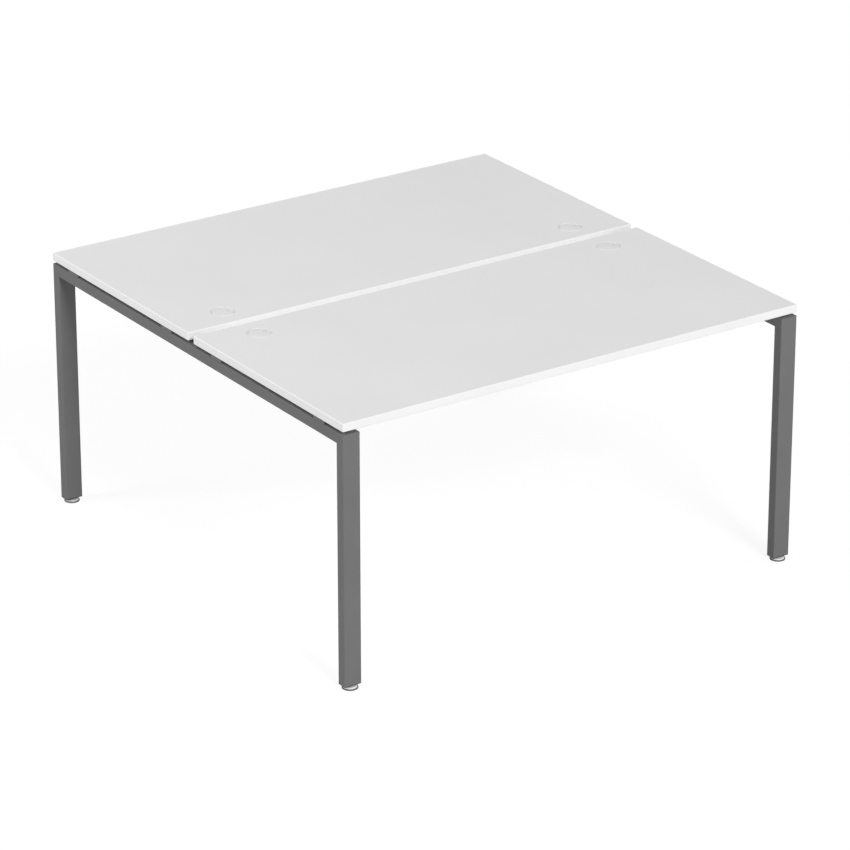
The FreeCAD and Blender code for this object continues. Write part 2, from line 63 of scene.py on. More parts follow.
# Places in millimetres that follow from these sizes
DESK_END = DESK_WIDTH / 2
SLOT_SIDE = SLOT_WIDTH / 2
DESK_SIDE = SLOT_SIDE + DESKTOP_DEPTH
TOP_UNDERSIDE = DESK_HEIGHT - BOARD_THICKNESS
REBATE_FLOOR = DESK_HEIGHT - REBATE_DEPTH
TUBE_MIDDLE_X, TUBE_MIDDLE_Y = DESK_END - TUBE_WIDTH / 2, DESK_SIDE - TUBE_DEPTH / 2


def rows_at(inset):
    """The four lines across the desk that lie an inset in from the desktops' long edges."""
    outer, inner = DESK_SIDE - inset, SLOT_SIDE + inset
    return -outer, -inner, inner, outer


BEAM_ROWS, SPACER_ROWS = rows_at(BEAM_INSET), rows_at(SPACER_INSET)


# Finishes

WHITE = "#FFFFFF"
TONE_STOPS = (0.3, 0.7)
# Widths of the patterns in millimetres. All but the peel are drawn coarser than they are, to show up close
PEARL, STREAK, PEEL, CRYSTAL, GRAIN = 2, 1.5, 2, 1.2, 0.6
# How much a streak is stretched along the edging
STREAK_STRETCH = 25


def linear(hex_colour):
    """An sRGB hex colour as linear red, green, blue and alpha."""
    shares = [int(hex_colour[start:start + 2], 16) / 255 for start in (1, 3, 5)]
    return [c / 12.92 if c <= 0.04045 else ((c + 0.055) / 1.055) ** 2.4 for c in shares] + [1]


def add_node(tree, kind, inputs=None, **settings):
    """Add a node with its settings, and give each input a value or another node's output."""
    node = tree.nodes.new(kind)
    for name, value in settings.items():
        setattr(node, name, value)
    for key, value in (inputs or {}).items():
        if isinstance(value, bpy.types.NodeSocket):
            tree.links.new(value, node.inputs[key])
        else:
            node.inputs[key].default_value = value
    return node


def cells_of(size_mm):
    """The texture scale that makes one cell of a pattern this wide."""
    return 1 / (size_mm * MM)


def finish(name, tones, drift_mm, relief, depth_mm, roughness, metallic=0.0, ior=1.5, specular=0.5):
    """A surface with two close tones that drift over it, and a relief that also varies its gloss."""
    material = bpy.data.materials.new(name)
    material.use_nodes = True
    tree = material.node_tree
    tree.nodes.clear()
    coordinates = add_node(tree, "ShaderNodeTexCoord")
    place = coordinates.outputs["Object"]
    drift = add_node(tree, "ShaderNodeTexNoise", {
        "Vector": place, "Scale": cells_of(drift_mm), "Detail": 3.0, "Roughness": 0.5})
    tone = add_node(tree, "ShaderNodeValToRGB", {"Fac": drift.outputs["Fac"]})
    for stop, at, colour in zip(tone.color_ramp.elements, TONE_STOPS, tones):
        stop.position = at
        stop.color = linear(colour)
    height = relief(tree, coordinates)
    gloss = add_node(tree, "ShaderNodeMapRange", {
        "Value": height, "To Min": roughness[0], "To Max": roughness[1]})
    bump = add_node(tree, "ShaderNodeBump", {"Height": height, "Distance": depth_mm * MM})
    shader = add_node(tree, "ShaderNodeBsdfPrincipled", {
        "Base Color": tone.outputs["Color"], "Roughness": gloss.outputs["Result"],
        "Metallic": metallic, "IOR": ior, "Specular IOR Level": specular,
        "Normal": bump.outputs["Normal"]})
    add_node(tree, "ShaderNodeOutputMaterial", {"Surface": shader.outputs["BSDF"]})
    return material


def pearl_relief(tree, coordinates):
    """Soft pearls, pressed into the melamine by the plate."""
    return add_node(tree, "ShaderNodeTexVoronoi", {
        "Vector": coordinates.outputs["Object"], "Scale": cells_of(PEARL), "Smoothness": 0.8,
    }, feature="SMOOTH_F1").outputs["Distance"]


def streak_relief(tree, coordinates):
    """Fine streaks that run level along the extruded edging."""
    level = add_node(tree, "ShaderNodeMapping", {
        "Vector": coordinates.outputs["Object"], "Scale": (1 / STREAK_STRETCH, 1 / STREAK_STRETCH, 1)})
    return add_node(tree, "ShaderNodeTexNoise", {
        "Vector": level.outputs["Vector"], "Scale": cells_of(STREAK), "Detail": 2.0}).outputs["Fac"]


def orange_peel(tree, coordinates):
    """Dimples with finer ones among them, as powder leaves when it melts and sets."""
    return add_node(tree, "ShaderNodeTexNoise", {
        "Vector": coordinates.outputs["Object"], "Scale": cells_of(PEEL), "Detail": 4.0,
        "Roughness": 0.6}).outputs["Fac"]


def spangle(tree, coordinates):
    """Flat crystals of zinc, each a little different in height and gloss."""
    return add_node(tree, "ShaderNodeTexVoronoi", {
        "Vector": coordinates.outputs["Object"], "Scale": cells_of(CRYSTAL)}).outputs["Color"]


def spark_grain(tree, coordinates):
    """Fine matt grain, left on moulded plastic by a spark-eroded mould."""
    return add_node(tree, "ShaderNodeTexNoise", {
        "Vector": coordinates.outputs["Object"], "Scale": cells_of(GRAIN), "Detail": 3.0,
        "Roughness": 0.7}).outputs["Fac"]


FINISHES = {
    # Melamine-faced chipboard, pressed: a plain even white, satin, with no grain to follow
    "white_melamine": finish(
        "melamine_faced_chipboard", ("#E7E7E7", "#EAEAEA"), drift_mm=320,
        relief=pearl_relief, depth_mm=0.02, roughness=(0.42, 0.52)),
    # ABS edging, extruded: the board's white a touch brighter, with a soft shine along its length
    "white_edging": finish(
        "extruded_abs_edging", ("#F4F4F4", "#F7F7F7"), drift_mm=180,
        relief=streak_relief, depth_mm=0.01, roughness=(0.30, 0.40)),
    # Steel tube, powder coated: even dark grey, nearly matt, with a faint sheen that the peel breaks up
    "grey_powder_coat": finish(
        "powder_coated_steel", ("#747475", "#787879"), drift_mm=140,
        relief=orange_peel, depth_mm=0.03, roughness=(0.46, 0.60), specular=0.05),
    # Steel, zinc plated: pale bluish silver, brighter on some crystals than on others
    "zinc_steel": finish(
        "zinc_plated_steel", ("#B9BDC1", "#CDD0D2"), drift_mm=6,
        relief=spangle, depth_mm=0.004, roughness=(0.26, 0.42), metallic=1.0),
    # Polyamide, moulded: mid grey and matt, as a hard-wearing glide is
    "grey_plastic": finish(
        "moulded_grey_polyamide", ("#68686A", "#707072"), drift_mm=9,
        relief=spark_grain, depth_mm=0.02, roughness=(0.50, 0.62), ior=1.53),
    # Polypropylene, moulded: near black with a dull shine
    "black_plastic": finish(
        "moulded_black_polypropylene", ("#19191A", "#202021"), drift_mm=9,
        relief=spark_grain, depth_mm=0.02, roughness=(0.44, 0.58), ior=1.49),
    # ABS, moulded: a shade under the desktops' white, finely matt so that fingers leave no mark
    "white_plastic": finish(
        "moulded_white_abs", ("#E2E2E2", "#E5E5E5"), drift_mm=14,
        relief=spark_grain, depth_mm=0.012, roughness=(0.34, 0.44), ior=1.54),
}
# Polyamide, moulded for the feet's covers: painted light, a brighter copy of the white plastic so that the
# covers show up in the shade under the dark legs
LIGHTENED_COVER_FINISH = finish(
    "moulded_white_polyamide_painted_lighter", ("#F6F6F6", "#F9F9F9"), drift_mm=14,
    relief=spark_grain, depth_mm=0.012, roughness=(0.34, 0.44), ior=1.53)

for part in frame["record"]["subparts"]:
    for surface in frame["nodes"][part["node"]].material_slots:
        surface.material = FINISHES[part["material_slot"]]


# Tools for pieces

def rounded(corners, steps=5):
    """A closed outline from corners of x, y and rounding, with each rounding drawn as an arc."""
    points = []
    for k, (x, y, rounding) in enumerate(corners):
        corner = Vector((x, y))
        if not rounding:
            points.append(corner)
            continue
        to_last = (Vector(corners[k - 1][:2]) - corner).normalized()
        to_next = (Vector(corners[(k + 1) % len(corners)][:2]) - corner).normalized()
        half_angle = to_last.angle(to_next) / 2
        centre = corner + (to_last + to_next).normalized() * rounding / math.sin(half_angle)
        reach = rounding / math.tan(half_angle)
        first, last = corner + to_last * reach - centre, corner + to_next * reach - centre
        turn = first.angle_signed(last)
        for step in range(steps + 1):
            points.append(centre + Matrix.Rotation(-turn * step / steps, 2) @ first)
    return points


def add_turned(mesh, outline, segments=72):
    """Turn a closed outline of radius and height about Z, or one that changes with the angle."""
    angles = [math.tau * step / segments for step in range(segments)]
    outlines = [outline(angle) if callable(outline) else outline for angle in angles]
    rings = [[mesh.verts.new((r * math.cos(angle), r * math.sin(angle), z)) for r, z in points]
             for angle, points in zip(angles, outlines)]
    count = len(rings[0])
    for step in range(segments):
        here, there = rings[step], rings[(step + 1) % segments]
        for k in range(count):
            following = (k + 1) % count
            if outlines[step][k][0] == 0 and outlines[step][following][0] == 0:
                continue
            mesh.faces.new((here[k], there[k], there[following], here[following]))


def add_plate(mesh, outline, low, high, bevel):
    """A flat plate from low to high with a closed outline and softly rounded edges."""
    face = mesh.faces.new([mesh.verts.new((x, y, low)) for x, y in outline])
    grown = bmesh.ops.extrude_face_region(mesh, geom=[face])["geom"]
    upper = [item for item in grown if isinstance(item, bmesh.types.BMVert)]
    bmesh.ops.translate(mesh, verts=upper, vec=(0, 0, high - low))
    rim = [edge for edge in mesh.edges if abs(edge.verts[0].co.z - edge.verts[1].co.z) < bevel]
    bmesh.ops.bevel(mesh, geom=rim, offset=bevel, segments=3, profile=0.5, affect="EDGES")


def to_mesh(mesh, name, place=(0, 0, 0)):
    """Close the seams, face every surface outwards and give the mesh its real size and place."""
    bmesh.ops.remove_doubles(mesh, verts=mesh.verts, dist=1e-4)
    bmesh.ops.recalc_face_normals(mesh, faces=mesh.faces)
    bmesh.ops.transform(mesh, verts=mesh.verts, matrix=Matrix.Scale(MM, 4) @ Matrix.Translation(place))
    data = bpy.data.meshes.new(name)
    mesh.to_mesh(data)
    mesh.free()
    data.shade_smooth()
    data.set_sharp_from_angle(angle=SMOOTH_ANGLE)
    return data


def show(name, data, body, slot, *stands_for, own_finish=None):
    """Put a mesh on its body with its slot's finish or one of its own, in place of the model's nodes."""
    piece = bpy.data.objects.new(name, data)
    bpy.context.scene.collection.objects.link(piece)
    data.materials.clear()
    data.materials.append(own_finish or FINISHES[slot])
    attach(piece, body)
    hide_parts(*stands_for)
    return piece


def evaluated(item):
    """The plain mesh that an object's modifiers give, with the object taken away afterwards."""
    graph = bpy.context.evaluated_depsgraph_get()
    data = bpy.data.meshes.new_from_object(item.evaluated_get(graph))
    item.modifiers.clear()
    bpy.data.objects.remove(item)
    return data


def hexagon(across_flats):
    """How far a hexagon's side lies from its middle at each angle."""
    def reach(angle):
        return across_flats / 2 / math.cos((angle + math.pi / 6) % (math.pi / 3) - math.pi / 6)
    return reach


# Cable outlets: a sleeve in the desktop, a cap that turns in it and a shutter under the cap

SLEEVE = rounded((
    (27.3, -20, 0.6), (29.7, -20, 0.6), (29.7, 0, 0), (33, 0, 0), (33, 1.5, 0.4), (32.2, 2.6, 1.3),
    (29.9, 2.6, 1.3), (29.1, 1.1, 0.4), (28.8, 0.1, 0), (27.3, 0.1, 0.3)))
HUB = rounded(((0, -3.3, 0), (4.2, -3.3, 0.5), (4.2, -1.7, 0), (3, -1.7, 0), (3, 0.5, 0), (0, 0.5, 0)))
NOTCH_HALF, NOTCH_INSET, NOTCH_STEPS = 7.5, 18, 24
CAP_RADIUS, CAP_LOW, CAP_HIGH, CAP_EDGE = 28.5, 0.1, 1.7, 0.35
SHUTTER_RADIUS, SHUTTER_LOW, SHUTTER_HIGH, SHUTTER_EDGE = 27.0, -1.5, -0.1, 0.25
SHUTTER_HOLE = 3.05
GRIP_GROOVES = (18, 21, 24)
GROOVE_HALF_WIDE, GROOVE_HALF_LONG, GROOVE_DEEP, GROOVE_ROUNDING = 0.6, 6, 0.6, 0.54
CUT_OVER = 1


def notched_disc(radius, steps=96):
    """A disc's outline with a round-ended notch cut in from its edge at +X."""
    mouth = math.asin(NOTCH_HALF / radius)
    sweep = [mouth + (math.tau - 2 * mouth) * step / steps for step in range(steps + 1)]
    rim = [(radius * math.cos(angle), radius * math.sin(angle)) for angle in sweep]
    turns = [math.pi * (1.5 - step / NOTCH_STEPS) for step in range(NOTCH_STEPS + 1)]
    end = [(NOTCH_INSET + NOTCH_HALF * math.cos(turn), NOTCH_HALF * math.sin(turn)) for turn in turns]
    return rim + end


def cut_away(data, cutter):
    """Take a cutter's shape out of a mesh."""
    item, tool = bpy.data.objects.new("blank", data), bpy.data.objects.new("cutter", cutter)
    for thing in (item, tool):
        bpy.context.scene.collection.objects.link(thing)
    cut = item.modifiers.new("cut", "BOOLEAN")
    cut.operation, cut.solver, cut.object = "DIFFERENCE", "EXACT", tool
    result = evaluated(item)
    bpy.data.objects.remove(tool)
    return result


def cap_mesh(place):
    """A cap with its cable notch and the hub that the shutter turns on."""
    mesh = bmesh.new()
    add_plate(mesh, notched_disc(CAP_RADIUS), CAP_LOW, CAP_HIGH, CAP_EDGE)
    add_turned(mesh, HUB, segments=32)
    return to_mesh(mesh, "cap", place)


def shutter_mesh(place):
    """A shutter with its notch away from the cap's, a hole for the hub and grooves to grip it by."""
    mesh = bmesh.new()
    add_plate(mesh, notched_disc(SHUTTER_RADIUS), SHUTTER_LOW, SHUTTER_HIGH, SHUTTER_EDGE)
    bmesh.ops.rotate(mesh, verts=mesh.verts, matrix=Matrix.Rotation(math.pi, 3, "Z"))
    plate = to_mesh(mesh, "shutter", place)
    tools = bmesh.new()
    low, high = SHUTTER_LOW - CUT_OVER, SHUTTER_HIGH + CUT_OVER
    add_turned(tools, ((0, low), (SHUTTER_HOLE, low), (SHUTTER_HOLE, high), (0, high)), segments=32)
    for x in GRIP_GROOVES:
        outline = rounded([(x + across * GROOVE_HALF_WIDE, along * GROOVE_HALF_LONG, GROOVE_ROUNDING)
                           for across, along in ((-1, -1), (1, -1), (1, 1), (-1, 1))])
        bottom = [tools.verts.new((p.x, p.y, SHUTTER_HIGH - GROOVE_DEEP)) for p in outline]
        lid = [tools.verts.new((p.x, p.y, high)) for p in outline]
        tools.faces.new(bottom)
        tools.faces.new(lid)
        for k in range(len(outline)):
            tools.faces.new((bottom[k - 1], bottom[k], lid[k], lid[k - 1]))
    data = cut_away(plate, to_mesh(tools, "shutter_cutter", place))
    data.set_sharp_from_angle(angle=SMOOTH_ANGLE)
    return data


for half, side in CORNERS:
    corner = f"{half}_{side}"
    outlet = (OUTWARD[side] * (DESK_END - OUTLET_FROM_END),
              OUTWARD[half] * (SLOT_SIDE + OUTLET_FROM_SLOT), REBATE_FLOOR)
    sleeve = bmesh.new()
    add_turned(sleeve, SLEEVE, segments=96)
    show(f"{corner}_moulded_sleeve", to_mesh(sleeve, "sleeve", outlet), "desk", "white_plastic",
         f"{corner}_outlet_sleeve")
    show(f"{corner}_moulded_cap", cap_mesh(outlet), f"{corner}_cap", "white_plastic",
         f"{corner}_outlet_cap")
    show(f"{corner}_moulded_shutter", shutter_mesh(outlet), f"{corner}_shutter", "white_plastic",
         f"{corner}_outlet_shutter")


# Levelling feet: a pad on the floor, a white cover on the pad, and a stud that turns in both

PAD = rounded((
    (0, 0.5, 0), (15.5, 0.5, 0), (16.5, 0, 0), (21, 0, 0.7), (21, 3.5, 0.7), (0, 3.5, 0)))
COVER = rounded((
    (18.2, 3.5, 0), (18.2, 3.9, 0.2), (15.9, 6, 1.5), (8, 6.2, 1), (4.4, 6.2, 0.4), (4.4, 5.2, 0.3),
    (8, 5.2, 1), (15.4, 5, 0.5), (17.2, 3.5, 0)))
STUD_HEAD = rounded((
    (0, 3.6, 0), (6, 3.6, 0.3), (6, 5.1, 0.3), (3.4, 5.1, 0), (3.4, 7, 0), (0, 7, 0)))
COLLAR_LOW, COLLAR_HIGH = 6.6, 9.6
COLLAR_FACE, COLLAR_CHAMFER = 6.3, math.radians(30)
COLLAR_REACH = hexagon(13)
THREAD_RADIUS, THREAD_PITCH, THREAD_DEPTH = 4.0, 1.25, 0.68
THREAD_LOW, THREAD_HIGH = 9, 41
# How far a thread's flank begins and ends from the middle of its root, in pitches
FLANK_LOW, FLANK_HIGH = 0.075, 0.44


def collar_outline(angle):
    """A spanner collar's outline at one angle, with its corners turned off."""
    reach = COLLAR_REACH(angle)
    drop = max(0, reach - COLLAR_FACE) * math.tan(COLLAR_CHAMFER)
    face = min(COLLAR_FACE, reach)
    return ((0, COLLAR_LOW), (face, COLLAR_LOW), (reach, COLLAR_LOW + drop),
            (reach, COLLAR_HIGH - drop), (face, COLLAR_HIGH), (0, COLLAR_HIGH))


def start_tree(name, **inputs):
    """A geometry tree with one output, and its inputs by name, each of the kind that is given."""
    tree = bpy.data.node_groups.new(name, "GeometryNodeTree")
    for title, kind in inputs.items():
        tree.interface.new_socket(title, in_out="INPUT", socket_type=f"NodeSocket{kind}")
    tree.interface.new_socket("Mesh", in_out="OUTPUT", socket_type="NodeSocketGeometry")
    return tree, add_node(tree, "NodeGroupInput").outputs


def end_tree(tree, shape, coat):
    """Turn a tree's result into plain faces and give them their finish."""
    real = add_node(tree, "GeometryNodeRealizeInstances", {"Geometry": shape})
    coated = add_node(tree, "GeometryNodeSetMaterial", {
        "Geometry": real.outputs["Geometry"], "Material": coat})
    add_node(tree, "NodeGroupOutput", {"Mesh": coated.outputs["Geometry"]})


def run_tree(tree, values, data):
    """The mesh that a geometry tree makes from a starting mesh and the inputs named in the values."""
    item = bpy.data.objects.new("blank", data)
    bpy.context.scene.collection.objects.link(item)
    modifier = item.modifiers.new("make", "NODES")
    modifier.node_group = tree
    for socket in tree.interface.items_tree:
        if socket.in_out == "INPUT" and socket.name in values:
            modifier[socket.identifier] = values[socket.name]
    return evaluated(item)


def thread_tree():
    """A geometry tree that winds a thread of a pitch and depth round a rod, and tapers its upper end."""
    tree, given = start_tree("wound_thread", Radius="Float", Length="Float", Pitch="Float", Depth="Float",
                             Sides="Int", Rings="Int", Finish="Material")
    rod = add_node(tree, "GeometryNodeMeshCylinder", {
        "Vertices": given["Sides"], "Side Segments": given["Rings"], "Radius": given["Radius"],
        "Depth": given["Length"]}, fill_type="TRIANGLE_FAN")
    place = add_node(tree, "GeometryNodeInputPosition").outputs["Position"]
    split = add_node(tree, "ShaderNodeSeparateXYZ", {"Vector": place}).outputs
    core = add_node(tree, "ShaderNodeMath", {0: given["Radius"], 1: given["Depth"]}, operation="SUBTRACT")
    root = add_node(tree, "ShaderNodeMath", {0: core.outputs[0], 1: given["Radius"]}, operation="DIVIDE")
    angle = add_node(tree, "ShaderNodeMath", {0: split["Y"], 1: split["X"]}, operation="ARCTAN2")
    climb = add_node(tree, "ShaderNodeMath", {0: split["Z"], 1: given["Pitch"]}, operation="DIVIDE")
    turns = add_node(tree, "ShaderNodeMath", {
        0: angle.outputs[0], 1: -1 / math.tau, 2: climb.outputs[0]}, operation="MULTIPLY_ADD")
    from_root = add_node(tree, "ShaderNodeMath", {0: turns.outputs[0], 1: 0.5}, operation="PINGPONG")
    flank = add_node(tree, "ShaderNodeMapRange", {
        "Value": from_root.outputs[0], "From Min": FLANK_LOW, "From Max": FLANK_HIGH,
        "To Min": root.outputs[0], "To Max": 1.0})
    top = add_node(tree, "ShaderNodeMath", {0: given["Length"], 1: 0.5}, operation="MULTIPLY")
    taper_from = add_node(tree, "ShaderNodeMath", {
        0: top.outputs[0], 1: given["Pitch"]}, operation="SUBTRACT")
    taper = add_node(tree, "ShaderNodeMapRange", {
        "Value": split["Z"], "From Min": taper_from.outputs[0], "From Max": top.outputs[0],
        "To Min": 1.0, "To Max": root.outputs[0]})
    shrink = add_node(tree, "ShaderNodeMath", {
        0: flank.outputs["Result"], 1: taper.outputs["Result"]}, operation="MINIMUM").outputs[0]
    scale = add_node(tree, "ShaderNodeCombineXYZ", {"X": shrink, "Y": shrink, "Z": 1.0})
    moved = add_node(tree, "ShaderNodeVectorMath", {0: place, 1: scale.outputs["Vector"]},
                     operation="MULTIPLY")
    wound = add_node(tree, "GeometryNodeSetPosition", {
        "Geometry": rod.outputs["Mesh"], "Position": moved.outputs["Vector"]})
    end_tree(tree, wound.outputs["Geometry"], given["Finish"])
    return tree


THREAD = run_tree(thread_tree(), {
    "Radius": THREAD_RADIUS, "Length": float(THREAD_HIGH - THREAD_LOW), "Pitch": THREAD_PITCH,
    "Depth": THREAD_DEPTH, "Sides": 32, "Rings": 160, "Finish": FINISHES["zinc_steel"],
}, bpy.data.meshes.new("rod"))

for half, side in CORNERS:
    corner = f"{half}_{side}"
    foot = (OUTWARD[side] * TUBE_MIDDLE_X, OUTWARD[half] * TUBE_MIDDLE_Y, 0)
    pad, cover, stud = bmesh.new(), bmesh.new(), bmesh.new()
    add_turned(pad, PAD)
    show(f"{corner}_moulded_pad", to_mesh(pad, "pad", foot), f"{corner}_foot", "grey_plastic",
         f"{corner}_foot_pad")
    add_turned(cover, COVER)
    # The covers' own finish is painted lighter than the white plastic, standing in for light in the shade
    # under the legs
    show(f"{corner}_moulded_cover", to_mesh(cover, "cover", foot), f"{corner}_foot", "white_plastic",
         f"{corner}_foot_cover", own_finish=LIGHTENED_COVER_FINISH)
    stud.from_mesh(THREAD)
    bmesh.ops.translate(stud, verts=stud.verts, vec=(0, 0, (THREAD_LOW + THREAD_HIGH) / 2))
    add_turned(stud, STUD_HEAD, segments=48)
    add_turned(stud, collar_outline)
    show(f"{corner}_threaded_stud", to_mesh(stud, "stud", foot), f"{corner}_stud", "zinc_steel",
         f"{corner}_foot_stud")


# Fasteners: socket bolts through the end plates, and cross-recessed screws up into the desktops

# Where the bolts' heads bear on the end plates, at the height of the rails' middle
BOLT_SEAT = DESK_END - TUBE_WIDTH - NUT_RIM - PLATE_THICKNESS
BOLT_HEIGHT = TOP_UNDERSIDE - SPACER_HEIGHT - TUBE_DEPTH / 2
BOLT_HALF_SPACING = 28
BOLT_RADIUS, BOLT_LENGTH, BOLT_CHAMFER, BOLT_SEGMENTS = 3, 15, 0.6, 36
BOLT_HEAD_RADIUS, BOLT_HEAD_HIGH, BOLT_FACE_RADIUS = 5.25, 3.3, 3.0
BOLT_RIM_HIGH, DOME_STEPS = 0.5, 6
SOCKET_DEEP, SOCKET_CHAMFER, SOCKET_CONE = 2.1, 0.2, 0.5
SOCKET_REACH = hexagon(4)
SCREW_RADIUS, SCREW_POINT, SCREW_BITE, SCREW_SEGMENTS = 2.5, 4, 13, 40
SCREW_HEAD_RADIUS, SCREW_HEAD_HIGH = 4.75, 2.8
CROWN_TURNS = [math.radians(degrees) for degrees in (0, 20, 40, 58, 70)]
CROSS_ARM, CROSS_HALF_WIDE, CROSS_DEEP = 2.3, 0.55, 1.7
CROSS_BRIM, CROSS_CHAMFER, CROSS_TAPER, CROSS_CONE = 0.25, 0.1, 0.55, 0.2
SCREW_TIP = TOP_UNDERSIDE + SCREW_BITE
# Undersides that the screws' heads bear on: inside the rails, and inside the beams
RAIL_SEAT, BEAM_SEAT = TOP_UNDERSIDE - SPACER_HEIGHT - TUBE_WALL, TOP_UNDERSIDE - BEAM_WALL
BEAM_SCREW_STEPS = (-450, 0, 450)
DOWN = (0, 0, -1)


def bolt_outline(angle):
    """A button-head bolt that points down at one angle, with a six-sided socket in its head."""
    socket = SOCKET_REACH(angle)
    dome = [(BOLT_HEAD_RADIUS - (BOLT_HEAD_RADIUS - BOLT_FACE_RADIUS) * (1 - math.cos(turn)),
             BOLT_RIM_HIGH + (BOLT_HEAD_HIGH - BOLT_RIM_HIGH) * math.sin(turn))
            for turn in (math.pi / 2 * step / DOME_STEPS for step in range(DOME_STEPS + 1))]
    bottom = BOLT_HEAD_HIGH - SOCKET_DEEP
    return ([(0, -BOLT_LENGTH), (BOLT_RADIUS - BOLT_CHAMFER, -BOLT_LENGTH),
             (BOLT_RADIUS, BOLT_CHAMFER - BOLT_LENGTH), (BOLT_RADIUS, 0), (BOLT_HEAD_RADIUS, 0)] + dome +
            [(socket + SOCKET_CHAMFER, BOLT_HEAD_HIGH), (socket, BOLT_HEAD_HIGH - SOCKET_CHAMFER),
             (socket, bottom), (0, bottom - SOCKET_CONE)])


def cross_reach(angle):
    """How far a cross recess reaches from its middle at each angle."""
    off_axis = (angle + math.pi / 4) % (math.pi / 2) - math.pi / 4
    return min(CROSS_ARM / math.cos(off_axis), CROSS_HALF_WIDE / max(abs(math.sin(off_axis)), 1e-6))


def screw_outline(length):
    """A pan-head screw that points down by a length, with a cross recess in its head."""
    def outline(angle):
        recess = cross_reach(angle)
        bottom = SCREW_HEAD_HIGH - CROSS_DEEP
        crown = [(SCREW_HEAD_RADIUS * math.cos(turn) ** 0.5, SCREW_HEAD_HIGH * math.sin(turn))
                 for turn in CROWN_TURNS]
        brim = max(recess, CROSS_ARM) + CROSS_BRIM
        return ([(0, -length), (SCREW_RADIUS, SCREW_POINT - length), (SCREW_RADIUS, 0)] + crown +
                [(brim, SCREW_HEAD_HIGH), (recess, SCREW_HEAD_HIGH - CROSS_CHAMFER),
                 (recess * CROSS_TAPER, bottom), (0, bottom - CROSS_CONE)])
    return outline


def fastener_tree():
    """A geometry tree that puts a fastener on each point, pointing one way and spun at random."""
    tree, given = start_tree("fasteners_on_points", Places="Geometry", Fastener="Object",
                             Direction="Vector", Seed="Int", Finish="Material")
    made = add_node(tree, "GeometryNodeObjectInfo", {"Object": given["Fastener"]})
    # The node's inputs and outputs for plain numbers share their names with others, so they go by place
    spin = add_node(tree, "FunctionNodeRandomValue", {3: math.tau, "Seed": given["Seed"]},
                    data_type="FLOAT")
    spun = add_node(tree, "ShaderNodeCombineXYZ", {"Z": spin.outputs[1]})
    own_turn = add_node(tree, "FunctionNodeEulerToRotation", {"Euler": spun.outputs["Vector"]})
    facing = add_node(tree, "FunctionNodeAlignRotationToVector", {
        "Rotation": own_turn.outputs["Rotation"], "Vector": given["Direction"]}, axis="Z")
    put = add_node(tree, "GeometryNodeInstanceOnPoints", {
        "Points": given["Places"], "Instance": made.outputs["Geometry"],
        "Rotation": facing.outputs["Rotation"]})
    end_tree(tree, put.outputs["Instances"], given["Finish"])
    return tree


FASTENERS = fastener_tree()


def fasten(outline, segments, places, direction, seed):
    """The plain mesh of one kind of fastener, repeated at its places in millimetres."""
    single = bmesh.new()
    add_turned(single, outline, segments)
    pattern = bpy.data.objects.new("pattern", to_mesh(single, "pattern"))
    points = bpy.data.meshes.new("places")
    points.from_pydata([Vector(place) * MM for place in places], [], [])
    data = run_tree(FASTENERS, {"Fastener": pattern, "Direction": direction, "Seed": seed,
                                "Finish": FINISHES["zinc_steel"]}, points)
    bpy.data.objects.remove(pattern)
    return data


for side in ("left", "right"):
    inward = -OUTWARD[side]
    bolts = [(OUTWARD[side] * BOLT_SEAT, row + step, BOLT_HEIGHT) for row in BEAM_ROWS
             for step in (-BOLT_HALF_SPACING, BOLT_HALF_SPACING)]
    data = fasten(bolt_outline, BOLT_SEGMENTS, bolts, (inward, 0, 0), SEED)
    show(f"{side}_socket_bolts", data, "desk", "zinc_steel", f"{side}_beam_bolts")
    screws = [(OUTWARD[side] * TUBE_MIDDLE_X, row, RAIL_SEAT) for row in SPACER_ROWS]
    data = fasten(screw_outline(SCREW_TIP - RAIL_SEAT), SCREW_SEGMENTS, screws, DOWN, SEED + 1)
    show(f"{side}_cross_screws", data, "desk", "zinc_steel", f"{side}_rail_screws")

for half, rows in (("front", BEAM_ROWS[:2]), ("rear", BEAM_ROWS[2:])):
    screws = [(x, row, BEAM_SEAT) for x in BEAM_SCREW_STEPS for row in rows]
    data = fasten(screw_outline(SCREW_TIP - BEAM_SEAT), SCREW_SEGMENTS, screws, DOWN, SEED + 2)
    show(f"{half}_cross_screws", data, "desk", "zinc_steel", f"{half}_beam_screws")


# Floor: pale, white to the eye, with the desk's shadow on it

FLOOR_HALF = 30
# What the floor throws back on the desk, the part of its look that takes the shadow, and the part that
# lets the white backdrop through
FLOOR_ALBEDO, FLOOR_SEEN_ALBEDO, FLOOR_SHEER = "#DDDDDD", "#7C7C7C", "#EFEFEF"


def seen_directly(tree):
    """One for rays from the camera, and for those that reach a surface by a mirror or glass."""
    path = add_node(tree, "ShaderNodeLightPath").outputs
    first = add_node(tree, "ShaderNodeMath", {0: path["Is Camera Ray"], 1: path["Is Glossy Ray"]},
                     operation="MAXIMUM")
    return add_node(tree, "ShaderNodeMath", {0: first.outputs[0], 1: path["Is Transmission Ray"]},
                    operation="MAXIMUM").outputs[0]


